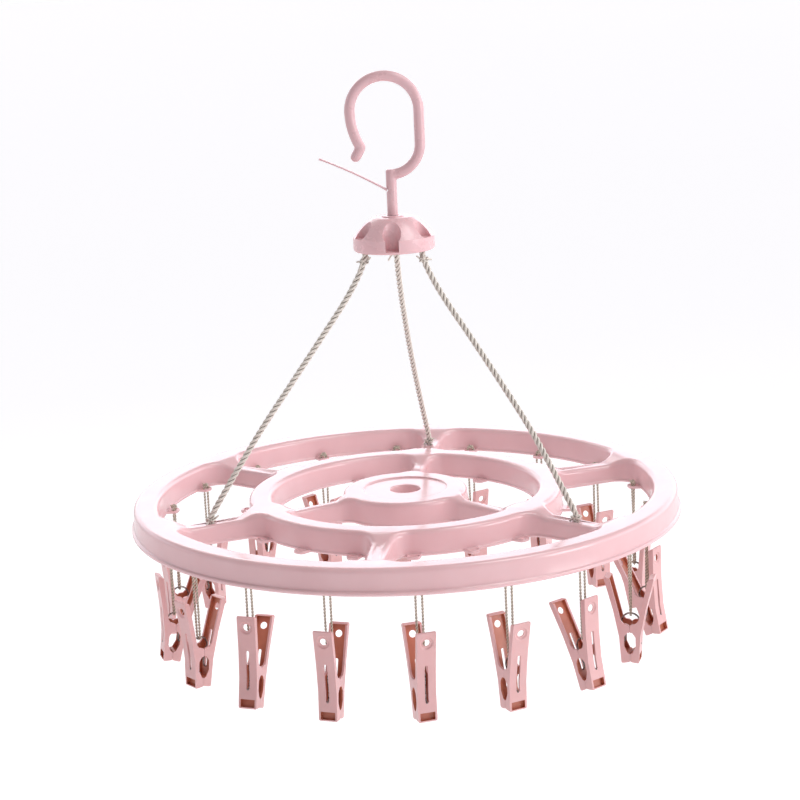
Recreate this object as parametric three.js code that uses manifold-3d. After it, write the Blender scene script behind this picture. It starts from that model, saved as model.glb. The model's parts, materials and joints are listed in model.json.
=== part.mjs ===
// Clip drying hanger: a ring frame hung by three ropes from a swivelling hook,
// with a spring peg on a cord under each of the eighteen lugs of the frame.
// Millimetres, +Z up. The origin is where the hook rests on its rail.
import * as THREE from 'three';
import { mergeVertices } from 'three/addons/utils/BufferGeometryUtils.js';
import Module from 'manifold-3d';

const wasm = await Module();
wasm.setup();

// ---- driving dimensions -------------------------------------------------
const GAP = 0.3;                    // air left between neighbouring pieces
const FRAME_TOP = -280;             // height of the frame's flat top
const FRAME_TURN = -8.2;            // how far the frame has turned on its swivel
const FRAME_DEPTH = 17;
const WALL = 2;                     // wall of the frame's hollow channel
const LIP = 2;                      // bead round the bottom edge of every wall
const LIP_HEIGHT = 2.4;
const ROUND = 3;                    // rounding along the frame's top edges
const FRAME_RADIUS = 188;           // the bead brings this to 190
const RING_INSIDE = 171;
const INNER_RING_OUTSIDE = 108.5;
const INNER_RING_INSIDE = 92.5;
const HUB_RADIUS = 43;
const HUB_HOLE = 10.4;
const HUB_RECESS = 29;
const OUTER_SPOKE = 14;
const INNER_SPOKE = 10;
const OUTER_FILLET = 14;
const INNER_FILLET = 10;
const SPOKE_DROP = 5;               // the spokes' tops lie this far below the rings'
const SPOKE_STEP = 3.5;             // from a ring's wall to where the drop starts

const PEG_COUNT = 18;
const PEG_ANGLE = 10;               // first peg, past the first spoke
const LUG_REACH = 5;                // lug hole to the wall that carries it
const LUG_THICK = 2;
const CORD = 1.5;                   // thickness of a peg's cord
const CORD_SPREAD = 2.1;            // half the distance between its two strands
const PEG_DROP = 30;                // lug to the top of the peg's handles
const PEG_LENGTH = 60;
const PEG_WIDTH = 12.4;
const PEG_SKIN = 1.5;               // wall of a peg leg
const FULCRUM = 32.6;               // handle top to the legs' turning point
const WIRE = 1.2;                   // spring wire
const ARCH = 6.2;                   // radius of the wire's arch over the turning point

const ROPE = 4;
const ROPE_HOLE = 4.8;
const ROPE_RADIUS = 141;            // where the ropes pass through the spokes

const HOOK_ROD = 7.2;

const CAP_BOTTOM = FRAME_TOP + 167.3;
const CAP_TOP = CAP_BOTTOM + 22.4;
const CAP_TURN = -3;                // the cap hangs a little turned on its ropes
const CAP_WALL = 1.6;

// How far each peg has twisted on its cord, from facing the front, and leaned along its grip.
const PEG_TWIST = [17, 28, 41, 74, 56, 60, 25, -20, 35, 80, 50, -30, 70, -65, -72, -50, -20, -19];
const PEG_LEAN = [6, 3, 16, 0, 15, 8, 4, 2, 6, 3, 5, 8, 4, 9, 11, 6, 16, 8];

// ---- plain helpers ------------------------------------------------------
const radians = THREE.MathUtils.degToRad;

// Direction in the plan, in degrees round from the front (-Y) towards +X.
function around(angle, radius, z = 0) {
  const turn = radians(angle - 90);
  return new THREE.Vector3(radius * Math.cos(turn), radius * Math.sin(turn), z);
}

function solidOf(geometry) {
  const bare = geometry.clone();
  bare.deleteAttribute('normal');
  bare.deleteAttribute('uv');
  const welded = mergeVertices(bare, 1e-4);
  return new wasm.Manifold(new wasm.Mesh({
    numProp: 3,
    vertProperties: new Float32Array(welded.attributes.position.array),
    triVerts: new Uint32Array(welded.index.array),
  }));
}

function geometryOf(solid) {
  const mesh = solid.getMesh();
  const geometry = new THREE.BufferGeometry();
  geometry.setAttribute('position', new THREE.BufferAttribute(mesh.vertProperties, 3));
  geometry.setIndex(new THREE.BufferAttribute(mesh.triVerts, 1));
  geometry.computeVertexNormals();
  return geometry;
}

function box(sizeX, sizeY, sizeZ, x, y, z) {
  return solidOf(new THREE.BoxGeometry(sizeX, sizeY, sizeZ).translate(x, y, z));
}

function rod(radius, bottom, top, sides, x = 0, y = 0) {
  const geometry = new THREE.CylinderGeometry(radius, radius, top - bottom, sides);
  return solidOf(geometry.rotateX(Math.PI / 2).translate(x, y, (top + bottom) / 2));
}

function ball(radius, centre, detail = 1) {
  return solidOf(new THREE.IcosahedronGeometry(radius, detail).translate(centre.x, centre.y, centre.z));
}

// Solid of revolution about Z from [radius, height] pairs that start and end on the axis.
function turned(profile, sides) {
  const points = profile.map(([radius, z]) => new THREE.Vector2(radius, z));
  return solidOf(new THREE.LatheGeometry(points, sides).rotateX(Math.PI / 2));
}

function extruded(shape, bottom, top, options = {}) {
  const settings = { depth: top - bottom, bevelEnabled: false, ...options };
  return solidOf(new THREE.ExtrudeGeometry(shape, settings).translate(0, 0, bottom));
}

// Points of an arc, both ends included, angles in degrees.
function arc(x, y, radius, from, to, step) {
  const pieces = Math.max(1, Math.round(Math.abs(to - from) / step));
  return Array.from({ length: pieces + 1 }, (_, i) => {
    const turn = radians(from + (to - from) * i / pieces);
    return new THREE.Vector2(x + radius * Math.cos(turn), y + radius * Math.sin(turn));
  });
}

function circle(radius, step) {
  return arc(0, 0, radius, 0, 360 - step, step);
}

// A route sampled only at its own corner points.
class Route extends THREE.Curve {
  constructor(points) {
    super();
    this.points = points;
  }

  getPoint(t) {
    return this.points[Math.round(t * (this.points.length - 1))].clone();
  }

  getPointAt(u) {
    return this.getPoint(u);
  }

  getTangentAt(u) {
    const last = this.points.length - 1;
    const here = Math.round(u * last);
    const before = this.points[Math.max(0, here - 1)];
    const after = this.points[Math.min(last, here + 1)];
    return after.clone().sub(before).normalize();
  }
}

function tube(points, thickness, sides) {
  const section = new THREE.Shape(circle(thickness / 2, 360 / sides));
  const settings = { steps: points.length - 1, extrudePath: new Route(points), bevelEnabled: false };
  return solidOf(new THREE.ExtrudeGeometry(section, settings));
}

// ---- frame --------------------------------------------------------------
// Outline of the opening between two spokes, counter-clockwise. Its corners are
// rounded, and growing it keeps the new outline parallel to the old one.
function windowOutline(outside, inside, firstSpoke, nextSpoke, spokeWidth, fillet, grow) {
  const side = spokeWidth / 2 + fillet;
  const outerU = Math.sqrt((outside - fillet) ** 2 - side ** 2);
  const innerU = Math.sqrt((inside + fillet) ** 2 - side ** 2);
  const outerLean = THREE.MathUtils.radToDeg(Math.atan2(side, outerU));
  const innerLean = THREE.MathUtils.radToDeg(Math.atan2(side, innerU));
  const first = firstSpoke - 90;
  const next = nextSpoke - 90;
  const round = fillet + grow;
  const corner = (spokeTurn, u, v, from, to) => {
    const turn = radians(spokeTurn);
    const x = u * Math.cos(turn) - v * Math.sin(turn);
    const y = u * Math.sin(turn) + v * Math.cos(turn);
    return arc(x, y, round, from, to, 30);
  };
  return [
    ...arc(0, 0, outside + grow, first + outerLean, next - outerLean, 9).slice(0, -1),
    ...corner(next, outerU, -side, next - outerLean, next + 90),
    ...corner(next, innerU, -side, next + 90, next + 180 - innerLean),
    ...arc(0, 0, inside - grow, next - innerLean, first + innerLean, 11).slice(1, -1),
    ...corner(first, innerU, side, first + innerLean + 180, first + 270),
    ...corner(first, outerU, side, first - 90, first + outerLean).slice(0, -1),
  ];
}

// Plan of the frame's material, shrunk on every side by `grow`.
function framePlan(grow) {
  const plan = new THREE.Shape(circle(FRAME_RADIUS - grow, 7.5));
  for (let spoke = 0; spoke < 6; spoke += 1) {
    const angle = FRAME_TURN + 60 * spoke;
    plan.holes.push(new THREE.Path(windowOutline(RING_INSIDE, INNER_RING_OUTSIDE,
      angle, angle + 60, OUTER_SPOKE, OUTER_FILLET, grow)));
  }
  for (let spoke = 0; spoke < 3; spoke += 1) {
    const angle = FRAME_TURN + 60 + 120 * spoke;
    plan.holes.push(new THREE.Path(windowOutline(INNER_RING_INSIDE, HUB_RADIUS,
      angle, angle + 120, INNER_SPOKE, INNER_FILLET, grow)));
  }
  plan.holes.push(new THREE.Path(circle(HUB_HOLE + grow, 30)));
  return plan;
}

// A flat eye on the bottom edge of a wall, reaching along +X from the wall at x = 0.
function lug() {
  const plate = new THREE.Shape([[-1, -5.4], [4.4, -5.4], [8.4, -2.8], [8.4, 2.8], [4.4, 5.4], [-1, 5.4]]
    .map(([x, y]) => new THREE.Vector2(x, y)));
  plate.holes.push(new THREE.Path([[-1.6, 3.6], [1.6, 3.6], [1.6, -3.6], [-1.6, -3.6]]
    .map(([x, y]) => new THREE.Vector2(x + LUG_REACH, y))));
  return extruded(plate, -FRAME_DEPTH, -FRAME_DEPTH + LUG_THICK);
}

function lugAt(angle, wallRadius, reach) {
  const place = around(angle, wallRadius);
  return lug().rotate([0, 0, angle - 90 + (reach < 0 ? 180 : 0)]).translate([place.x, place.y, 0]);
}

// Boxes over every spoke, from `inset` past the ring or hub at each end, downwards
// from `top` to `bottom`.
function overSpokes(inset, bottom, top) {
  const over = (outside, inside, width, angle) => {
    const middle = around(angle, (outside + inside) / 2);
    return box(outside - inside - 2 * inset, width, top - bottom, 0, 0, (top + bottom) / 2)
      .rotate([0, 0, angle - 90]).translate([middle.x, middle.y, 0]);
  };
  const outerWidth = OUTER_SPOKE + 2 * OUTER_FILLET;
  const innerWidth = INNER_SPOKE + 2 * INNER_FILLET;
  let boxes = over(RING_INSIDE, INNER_RING_OUTSIDE, outerWidth, FRAME_TURN);
  for (let spoke = 1; spoke < 6; spoke += 1) {
    boxes = boxes.add(over(RING_INSIDE, INNER_RING_OUTSIDE, outerWidth, FRAME_TURN + 60 * spoke));
  }
  for (let spoke = 0; spoke < 3; spoke += 1) {
    boxes = boxes.add(over(INNER_RING_INSIDE, HUB_RADIUS, innerWidth, FRAME_TURN + 60 + 120 * spoke));
  }
  return boxes;
}

function frame() {
  const bevel = {
    bevelEnabled: true,
    bevelThickness: ROUND,
    bevelSize: ROUND,
    bevelOffset: -ROUND,
    bevelSegments: 1,
  };
  const block = extruded(framePlan(0), -FRAME_DEPTH - ROUND, -ROUND, bevel);
  const below = box(500, 500, 20, 0, 0, -FRAME_DEPTH - 10);
  const rim = new THREE.Shape(circle(FRAME_RADIUS + LIP, 7.5));
  rim.holes.push(new THREE.Path(circle(FRAME_RADIUS - 1, 7.5)));
  const bead = extruded(rim, -FRAME_DEPTH, -FRAME_DEPTH + LIP_HEIGHT);
  const hollow = extruded(framePlan(WALL), -FRAME_DEPTH - 1, -WALL)
    .subtract(overSpokes(SPOKE_STEP - WALL, -SPOKE_DROP - WALL, 0));
  const recess = rod(HUB_RECESS, -1, 1, 32);
  let body = block.subtract(below).add(bead).subtract(hollow).subtract(recess)
    .subtract(overSpokes(SPOKE_STEP, -SPOKE_DROP, 1));
  for (let peg = 0; peg < PEG_COUNT; peg += 1) {
    const angle = pegAngle(peg);
    body = body.add(lugAt(angle, RING_INSIDE, -1));
    body = body.add(lugAt(angle, INNER_RING_OUTSIDE, 1));
  }
  for (let spoke = 0; spoke < 3; spoke += 1) {
    const angle = FRAME_TURN + 60 + 120 * spoke;
    const place = around(angle, ROPE_RADIUS);
    body = body.subtract(rod(ROPE_HOLE / 2, -SPOKE_DROP - 3, 1, 10, place.x, place.y));
    body = body.add(lugAt(angle + 30, INNER_RING_INSIDE, -1));
    body = body.add(lugAt(angle - 30, INNER_RING_INSIDE, -1));
  }
  return body;
}

// ---- ropes --------------------------------------------------------------
// One rope from the knot under its spoke up to the common knot inside the cap.
function ropePoints(spoke) {
  const route = [[ROPE_RADIUS, -12], [ROPE_RADIUS, -3], [139, 3], [107, 50], [82, 82], [57, 113],
    [40, 134], [29, 150], [23.2, 161.5], [21.5, 169], [17, 172], [1, 172]];
  return route.map(([radius, height]) => around(ropeAngle(spoke, height), radius, FRAME_TOP + height));
}

// A rope stands at its spoke below, and under its own pocket where it meets the cap.
function ropeAngle(spoke, height) {
  const share = Math.max(0, height / (CAP_BOTTOM - FRAME_TOP));
  return 60 + 120 * spoke + FRAME_TURN + (CAP_TURN - FRAME_TURN) * Math.min(1, share);
}

function ropes() {
  let body = ball(5, new THREE.Vector3(0, 0, FRAME_TOP + 171.5), 0);
  for (let spoke = 0; spoke < 3; spoke += 1) {
    const angle = ropeAngle(spoke, 0);
    body = body.add(tube(ropePoints(spoke), ROPE, 8));
    body = body.add(ball(3.7, around(angle, ROPE_RADIUS, FRAME_TOP - SPOKE_DROP - 7.5), 0));
    body = body.add(ball(3.2, around(angle, ROPE_RADIUS, FRAME_TOP - SPOKE_DROP + 3.8), 0));
    body = body.add(ball(2.9, around(ropeAngle(spoke, 161), 23.4, FRAME_TOP + 161), 0));
  }
  return body;
}

// ---- hook, cap, strap ---------------------------------------------------
// Centre line of the hook from the elbow on the stem round to its tip.
function hookPoints() {
  const right = 20.3;
  const topRadius = 23.1;
  const topX = right - topRadius;
  const topCentre = -Math.sqrt((topRadius - HOOK_ROD / 2) ** 2 - topX ** 2);
  const lowCentre = topCentre - 22.5;
  const leftRadius = 48;
  const leftCentre = topX - topRadius + leftRadius;
  const path = [
    ...arc(0, lowCentre, right, -90, 0, 15),
    ...arc(topX, topCentre, topRadius, 0, 180, 15),
    ...arc(leftCentre, topCentre, leftRadius, 180, 210, 10).slice(1),
  ];
  const kink = path[path.length - 1];
  path.push(new THREE.Vector2(kink.x - 4, kink.y - 6.6));
  return path.map(({ x, y }) => new THREE.Vector3(x, 0, y));
}

const HOOK_PATH = hookPoints();
const ELBOW = HOOK_PATH[0].z;
const HOOK_TIP = HOOK_PATH[HOOK_PATH.length - 1];
const STRAP_ROOT = new THREE.Vector3(-HOOK_ROD / 2 + 0.6, 0, ELBOW - 10.2);
const STRAP_WIDTH = 4.4;

function hook() {
  const stemBottom = CAP_TOP - 10;
  const slot = box(4, STRAP_WIDTH + 2 * GAP, 3.6, STRAP_ROOT.x - 1.1, 0, STRAP_ROOT.z);
  return tube(HOOK_PATH, HOOK_ROD, 10)
    .add(rod(HOOK_ROD / 2, stemBottom, ELBOW + HOOK_ROD / 2, 12))
    .add(ball(HOOK_ROD / 2, HOOK_TIP))
    .subtract(slot);
}

// Thin strip from the stem's notch out under the hook's tip.
function strap() {
  const outline = [[-0.7, -0.9], [0.2, -0.9], [0.6, 0], [0.2, 0.9], [-0.7, 0.9],
    [-9.8, 5.6], [-20.8, 11.2], [-32.2, 16.6], [-44.2, 22.5],
    [-44.8, 21.4], [-32.8, 15.4], [-21.4, 10], [-10.4, 4.4], [-1.6, -0.6]]
    .map(([x, z]) => new THREE.Vector2(x, z));
  return solidOf(new THREE.ExtrudeGeometry(new THREE.Shape(outline),
    { depth: STRAP_WIDTH, bevelEnabled: false }).translate(0, 0, -STRAP_WIDTH / 2).rotateX(Math.PI / 2));
}

// Round collar pressed on the stem below the cap's top, which carries the load.
function retainer() {
  const top = CAP_TOP - CAP_WALL - GAP;
  const ring = turned([[0, top - 6], [5.6, top - 6], [6.6, top - 4.6], [6.6, top], [0, top]], 20);
  return ring.subtract(rod(HOOK_ROD / 2 + GAP, top - 10, top + 1, 12));
}

function cap() {
  const [bottom, top] = [CAP_BOTTOM, CAP_TOP];
  const outer = turned([[0, bottom], [27.2, bottom], [27.7, bottom + 1], [27.6, bottom + 9.2],
    [26.2, bottom + 10.4], [20.8, bottom + 16.6], [13.4, top], [7.4, top],
    [7, top + 0.8], [0, top + 0.8]], 30);
  const inner = turned([[0, bottom - 1], [27.4 - CAP_WALL, bottom - 1], [27.2 - CAP_WALL, bottom + 8.6],
    [12.6, top - CAP_WALL], [0, top - CAP_WALL]], 30);
  let walls = null;
  let pockets = null;
  for (let place = 0; place < 6; place += 1) {
    const deep = place % 2 === 0;
    const floor = deep ? bottom + 1.6 : bottom + 9.2;
    const radius = deep ? 6.2 : 5.8;
    const centre = around(CAP_TURN + 60 * place, 23);
    const wall = rod(radius + CAP_WALL, floor - CAP_WALL, top + 5, 12, centre.x, centre.y);
    const pocket = rod(radius, floor, top + 6, 12, centre.x, centre.y);
    walls = walls ? walls.add(wall) : wall;
    pockets = pockets ? pockets.add(pocket) : pocket;
  }
  return outer.subtract(inner.subtract(walls)).subtract(pockets)
    .subtract(rod(HOOK_ROD / 2 + GAP, top - 10, top + 5, 16));
}

// ---- pegs ---------------------------------------------------------------
function pegAngle(peg) {
  return FRAME_TURN + PEG_ANGLE + peg * 360 / PEG_COUNT;
}

// One leg, seen from its side as [distance from the middle, height below the handle
// top]. The leg stands at +X, is as wide along Y as PEG_WIDTH, and opens to the middle.
function leg() {
  const fulcrum = -FULCRUM;
  const outline = [[17, 0], [10.8, -23], [7.2, -41], [5.8, -PEG_LENGTH], [0.2, -PEG_LENGTH + 0.8],
    [0.2, -53.2], [2, -52.4], [3.9, -47.6], [3.9, -41.8], [1.4, -38.4], [0.2, -38.4], [0.2, fulcrum],
    [4.2, fulcrum + 1.2], [6.8, fulcrum + 5.6], [12.9, -1.1]];
  const shape = new THREE.Shape(outline.map(([x, z]) => new THREE.Vector2(x, z)));
  const side = new THREE.ExtrudeGeometry(shape, { depth: PEG_WIDTH, bevelEnabled: false });
  const block = solidOf(side.rotateX(Math.PI / 2).translate(0, PEG_WIDTH / 2, 0));
  const room = new THREE.Shape([[17 - PEG_SKIN - 0.4, -PEG_SKIN], [10.8 - PEG_SKIN, -23],
    [7.2 - PEG_SKIN, -41], [6.2 - PEG_SKIN, -53], [-1, -53], [-1, -PEG_SKIN - 1]]
    .map(([x, z]) => new THREE.Vector2(x, z)));
  const roomWidth = PEG_WIDTH - 2 * PEG_SKIN;
  const hollow = solidOf(new THREE.ExtrudeGeometry(room, { depth: roomWidth, bevelEnabled: false })
    .rotateX(Math.PI / 2).translate(0, roomWidth / 2, 0));
  const through = (radius, z) => solidOf(new THREE.CylinderGeometry(radius, radius, 12, 6)
    .rotateZ(Math.PI / 2).translate(15, 0, z));
  return block.subtract(hollow)
    .subtract(through(2.2, -7.6))
    .subtract(box(12, 2.2, 25, 10, 0, -35))
    .subtract(box(4, roomWidth, 4.8, 5.8, 0, -56.2))
    .translate([0, 0, FULCRUM]);
}

// The cord's loop through the lug, and the spring wire that it carries. The wire arches over
// the legs' turning point, so it leans with the legs while the cord hangs straight.
function hanger(twist, lean) {
  const turningPoint = new THREE.Vector2(0, -PEG_DROP - FULCRUM);
  const wireTop = turningPoint.y + ARCH;
  const along = new THREE.Vector3(0, 1, 0);
  const shortTwist = twist - 180 * Math.round(twist / 180);
  const across = along.clone().applyAxisAngle(new THREE.Vector3(0, 0, 1), radians(shortTwist));
  const strand = (direction, spread, z) => direction.clone().multiplyScalar(spread).setZ(z);
  const knot = LUG_THICK / 2 + GAP + 2.4;
  const cord = tube([
    strand(along, 0.3, knot),
    strand(along, CORD_SPREAD, knot - 0.9),
    strand(along, CORD_SPREAD, -3),
    strand(across, 1.4, wireTop + 1.4),
    strand(across, 0, wireTop - 0.9),
    strand(across, -1.4, wireTop + 1.4),
    strand(along, -CORD_SPREAD, -3),
    strand(along, -CORD_SPREAD, knot - 0.9),
    strand(along, -0.3, knot),
  ], CORD, 5);
  const side = [[4.9, -46.8], [3.6, -45.6], [4.5, -38]].map(([x, z]) => new THREE.Vector2(x, z - PEG_DROP));
  const mirrored = side.map(({ x, y }) => new THREE.Vector2(-x, y)).reverse();
  const arch = arc(0, turningPoint.y, ARCH, 0, 180, 45);
  const wireRoute = [...side, ...arch, ...mirrored]
    .map((point) => point.rotateAround(turningPoint, radians(lean)))
    .map(({ x, y }) => new THREE.Vector3(x, 0, y));
  const wire = tube(wireRoute, WIRE, 4).rotate([0, 0, twist]);
  return cord.add(wire).add(ball(2.4, new THREE.Vector3(0, 0, knot), 0));
}

// ---- assembly -----------------------------------------------------------
const LOOKS = {
  frame: { color: 0xf0cdd4, roughness: 0.28, metalness: 0 },
  hook: { color: 0xe6bfc4, roughness: 0.35, metalness: 0 },
  peg: { color: 0xe2b4b6, roughness: 0.4, metalness: 0 },
  rope: { color: 0xe1d7c3, roughness: 0.9, metalness: 0 },
  cord: { color: 0xb7a68e, roughness: 0.85, metalness: 0 },
};

function dryingHanger() {
  const group = new THREE.Group();
  const put = (name, geometry, look) => {
    const mesh = new THREE.Mesh(geometry, new THREE.MeshStandardMaterial(LOOKS[look]));
    mesh.name = name;
    group.add(mesh);
    return mesh;
  };
  put('hook', geometryOf(hook()), 'hook');
  put('wind_strap', geometryOf(strap()), 'hook').position.copy(STRAP_ROOT);
  put('swivel_retainer', geometryOf(retainer()), 'hook');
  put('suspension_cap', geometryOf(cap()), 'frame');
  put('suspension_ropes', geometryOf(ropes()), 'rope');
  put('ring_frame', geometryOf(frame()), 'frame').position.z = FRAME_TOP;
  const pegLeg = geometryOf(leg());
  for (let peg = 0; peg < PEG_COUNT; peg += 1) {
    const name = `peg_${String(peg + 1).padStart(2, '0')}`;
    const angle = pegAngle(peg);
    const lugPoint = around(angle, RING_INSIDE - LUG_REACH, FRAME_TOP - FRAME_DEPTH + LUG_THICK / 2);
    const twist = PEG_TWIST[peg];
    const lean = PEG_LEAN[peg];
    const place = (mesh, drop, turn, tip) => {
      mesh.position.copy(lugPoint).setZ(lugPoint.z - drop);
      mesh.rotation.set(0, radians(tip), radians(turn), 'ZYX');
    };
    place(put(`${name}_hanger`, geometryOf(hanger(twist - angle, lean)), 'cord'), 0, angle - 90, 0);
    place(put(`${name}_leg_near`, pegLeg, 'peg'), PEG_DROP + FULCRUM, twist - 90, -lean);
    place(put(`${name}_leg_far`, pegLeg, 'peg'), PEG_DROP + FULCRUM, twist + 90, lean);
  }
  return group;
}

export default dryingHanger();
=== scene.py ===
"""A round clip drying hanger: the look of every piece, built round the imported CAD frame.

Shapes are worked out in millimetres, as in the CAD, and turned into metres when an object
is made. The origin is where the hook rests on its rail, +Z is up and -Y is the front.
"""

import json
import math

import bmesh
import bpy
import numpy as np
from mathutils import Matrix, Vector
from mathutils.geometry import delaunay_2d_cdt
from mathutils.kdtree import KDTree


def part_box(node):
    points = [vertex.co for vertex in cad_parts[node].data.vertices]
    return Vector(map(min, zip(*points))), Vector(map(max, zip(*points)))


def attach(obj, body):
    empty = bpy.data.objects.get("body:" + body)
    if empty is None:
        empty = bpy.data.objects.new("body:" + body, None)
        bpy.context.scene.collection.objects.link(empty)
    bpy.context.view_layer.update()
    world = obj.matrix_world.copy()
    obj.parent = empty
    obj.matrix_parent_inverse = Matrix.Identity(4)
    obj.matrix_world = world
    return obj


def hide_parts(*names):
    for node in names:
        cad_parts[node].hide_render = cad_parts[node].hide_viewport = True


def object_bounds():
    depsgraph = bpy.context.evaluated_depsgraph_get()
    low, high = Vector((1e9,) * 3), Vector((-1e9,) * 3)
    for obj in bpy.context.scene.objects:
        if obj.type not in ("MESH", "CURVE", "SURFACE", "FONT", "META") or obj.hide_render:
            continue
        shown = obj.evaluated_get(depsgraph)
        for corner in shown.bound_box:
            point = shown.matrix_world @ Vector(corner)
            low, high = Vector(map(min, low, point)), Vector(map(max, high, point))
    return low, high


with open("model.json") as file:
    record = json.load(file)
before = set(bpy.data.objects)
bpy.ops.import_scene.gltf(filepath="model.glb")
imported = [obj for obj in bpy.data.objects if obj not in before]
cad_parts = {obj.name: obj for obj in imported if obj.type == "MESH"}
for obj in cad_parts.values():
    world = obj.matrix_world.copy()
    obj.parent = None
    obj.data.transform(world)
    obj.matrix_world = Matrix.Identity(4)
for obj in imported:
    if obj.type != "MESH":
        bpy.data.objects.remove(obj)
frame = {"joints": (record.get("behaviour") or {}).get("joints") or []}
CAD_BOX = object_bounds()
MM = 0.001


# ---- dimensions that the CAD also has, in millimetres and degrees ---------------
def cad_corners(node):
    """Lowest and highest corner of a CAD node, in millimetres."""
    low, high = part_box(node)
    return low / MM, high / MM


JOINTS = {joint["name"]: joint for joint in frame["joints"]}
FRAME_LOW, FRAME_HIGH = cad_corners("ring_frame")
FRAME_TOP = FRAME_HIGH.z
FRAME_DEPTH = FRAME_TOP - FRAME_LOW.z
FRAME_TURN = -8.2
OUTER_SPOKES = 6
INNER_SPOKES = 3
FRAME_RADIUS = 188
RING_INSIDE = 171
INNER_RING_OUTSIDE = 108.5
INNER_RING_INSIDE = 92.5
HUB_RADIUS = 43
HUB_HOLE = 10.4
HUB_RECESS = 29
OUTER_SPOKE = 14
INNER_SPOKE = 10
OUTER_FILLET = 14
INNER_FILLET = 10
WALL = 2
ROUND = 3.4
SPOKE_DIP = 5
LUG_REACH = 5
LUG_THICK = 2
ROPE = 4
ROPE_COUNT = 3
ROPE_RADIUS = 141
ROPE_HOLE = 2.2
CAP_BOTTOM = cad_corners("suspension_cap")[0].z
CAP_TOP = CAP_BOTTOM + 22.4
CAP_TURN = -3
CAP_WALL = 1.6
POCKET_RADIUS = 23
HOOK_ROD = 7.2
STRAP_ROOT = Vector(JOINTS["strap_flex"]["pos_m"]) / MM
STRAP_WIDTH = 4.4
STRAP_LENGTH = 50.3
STRAP_LEAN = 27
PEG_LEAN = (6, 3, 16, 0, 15, 8, 4, 2, 6, 3, 5, 8, 4, 9, 11, 6, 16, 8)
PEG_COUNT = len(PEG_LEAN)
PEG_ANGLE = 10
PEG_DROP = 30
PEG_LENGTH = 60
PEG_WIDTH = 12.4
PEG_SKIN = 1.4
FULCRUM = 32.6
ARCH = 6.2
LEG_FACE = [(17, 0), (10.8, -23), (7.2, -41), (5.8, -PEG_LENGTH)]
HOLE_HEIGHT = -7.7
CORD = 1.5
CORD_SPREAD = 2.1
WIRE = 1.2


# ---- plan geometry ----------------------------------------------------------
def around(angle, radius, z=0.0):
    """A point that many degrees round from the front towards +X."""
    turn = math.radians(angle - 90)
    return Vector((radius * math.cos(turn), radius * math.sin(turn), z))


def arc(x, y, radius, start, stop, step):
    """Points of an arc, both ends included."""
    pieces = max(1, round(abs(stop - start) / step))
    turns = np.radians(np.linspace(start, stop, pieces + 1))
    return np.column_stack((x + radius * np.cos(turns), y + radius * np.sin(turns)))


def circle(radius, step, x=0.0, y=0.0):
    """Points of a whole circle, the first one not repeated."""
    return arc(x, y, radius, 0, 360, step)[:-1]


def rounded(corners, radius):
    """A closed outline with its corners rounded, as far as its sides have room. Bends of
    under 12 degrees stay."""
    steps = 4
    points = [Vector(corner) for corner in corners]
    outline = []
    for before, corner, after in zip(points[-1:] + points[:-1], points, points[1:] + points[:1]):
        back = before - corner
        ahead = after - corner
        bend = math.pi - back.angle(ahead)
        reach = min(radius * math.tan(bend / 2), 0.45 * back.length, 0.45 * ahead.length)
        if bend < math.radians(12):
            outline.append(corner)
            continue
        start = corner + back.normalized() * reach
        stop = corner + ahead.normalized() * reach
        for step in range(steps + 1):
            t = step / steps
            outline.append(start * (1 - t) ** 2 + corner * 2 * t * (1 - t) + stop * t ** 2)
    return outline


# ---- meshes -----------------------------------------------------------------
def add_object(name, mesh, *materials):
    """Puts a mesh in the scene as an object with these materials."""
    thing = bpy.data.objects.new(name, mesh)
    bpy.context.scene.collection.objects.link(thing)
    for material in materials:
        mesh.materials.append(material)
    return thing


def mesh_from(name, vertices, faces, weld=1e-3):
    """A closed smooth mesh with outward faces, from points in millimetres."""
    mesh = bpy.data.meshes.new(name)
    mesh.from_pydata([tuple(c * MM for c in v) for v in vertices], [], faces)
    work = bmesh.new()
    work.from_mesh(mesh)
    bmesh.ops.remove_doubles(work, verts=work.verts, dist=weld * MM)
    bmesh.ops.recalc_face_normals(work, faces=work.faces)
    for face in work.faces:
        face.smooth = True
    work.to_mesh(mesh)
    work.free()
    return mesh


def applied(thing, name):
    """The mesh that an object has with its modifiers on. The object itself goes."""
    bpy.context.view_layer.update()
    ready = thing.evaluated_get(bpy.context.evaluated_depsgraph_get())
    mesh = bpy.data.meshes.new_from_object(ready)
    mesh.name = name
    old = thing.data
    bpy.data.objects.remove(thing)
    if isinstance(old, bpy.types.Mesh):
        bpy.data.meshes.remove(old)
    return mesh


def carved(base, cutters, operation="DIFFERENCE"):
    """A mesh cut by, or joined with, each of the other meshes."""
    body = add_object("work", base)
    tools = [add_object("tool", cutter) for cutter in cutters]
    for tool in tools:
        change = body.modifiers.new("carve", "BOOLEAN")
        change.operation = operation
        change.solver = "EXACT"
        change.object = tool
    mesh = applied(body, base.name)
    for tool in tools:
        bpy.data.objects.remove(tool)
    return mesh


def softened(mesh, width, angle, rim=-1):
    """A mesh with the edges that bend by more than `angle` degrees rounded by `width`. The
    rounded faces take material number rim, or at -1 that of the faces beside them."""
    body = add_object("work", mesh)
    bevel = body.modifiers.new("bevel", "BEVEL")
    bevel.width = width * MM
    bevel.segments = 2
    bevel.limit_method = "ANGLE"
    bevel.angle_limit = math.radians(angle)
    bevel.harden_normals = True
    bevel.material = rim
    mesh = applied(body, mesh.name)
    mesh.shade_smooth()
    return mesh


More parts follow.
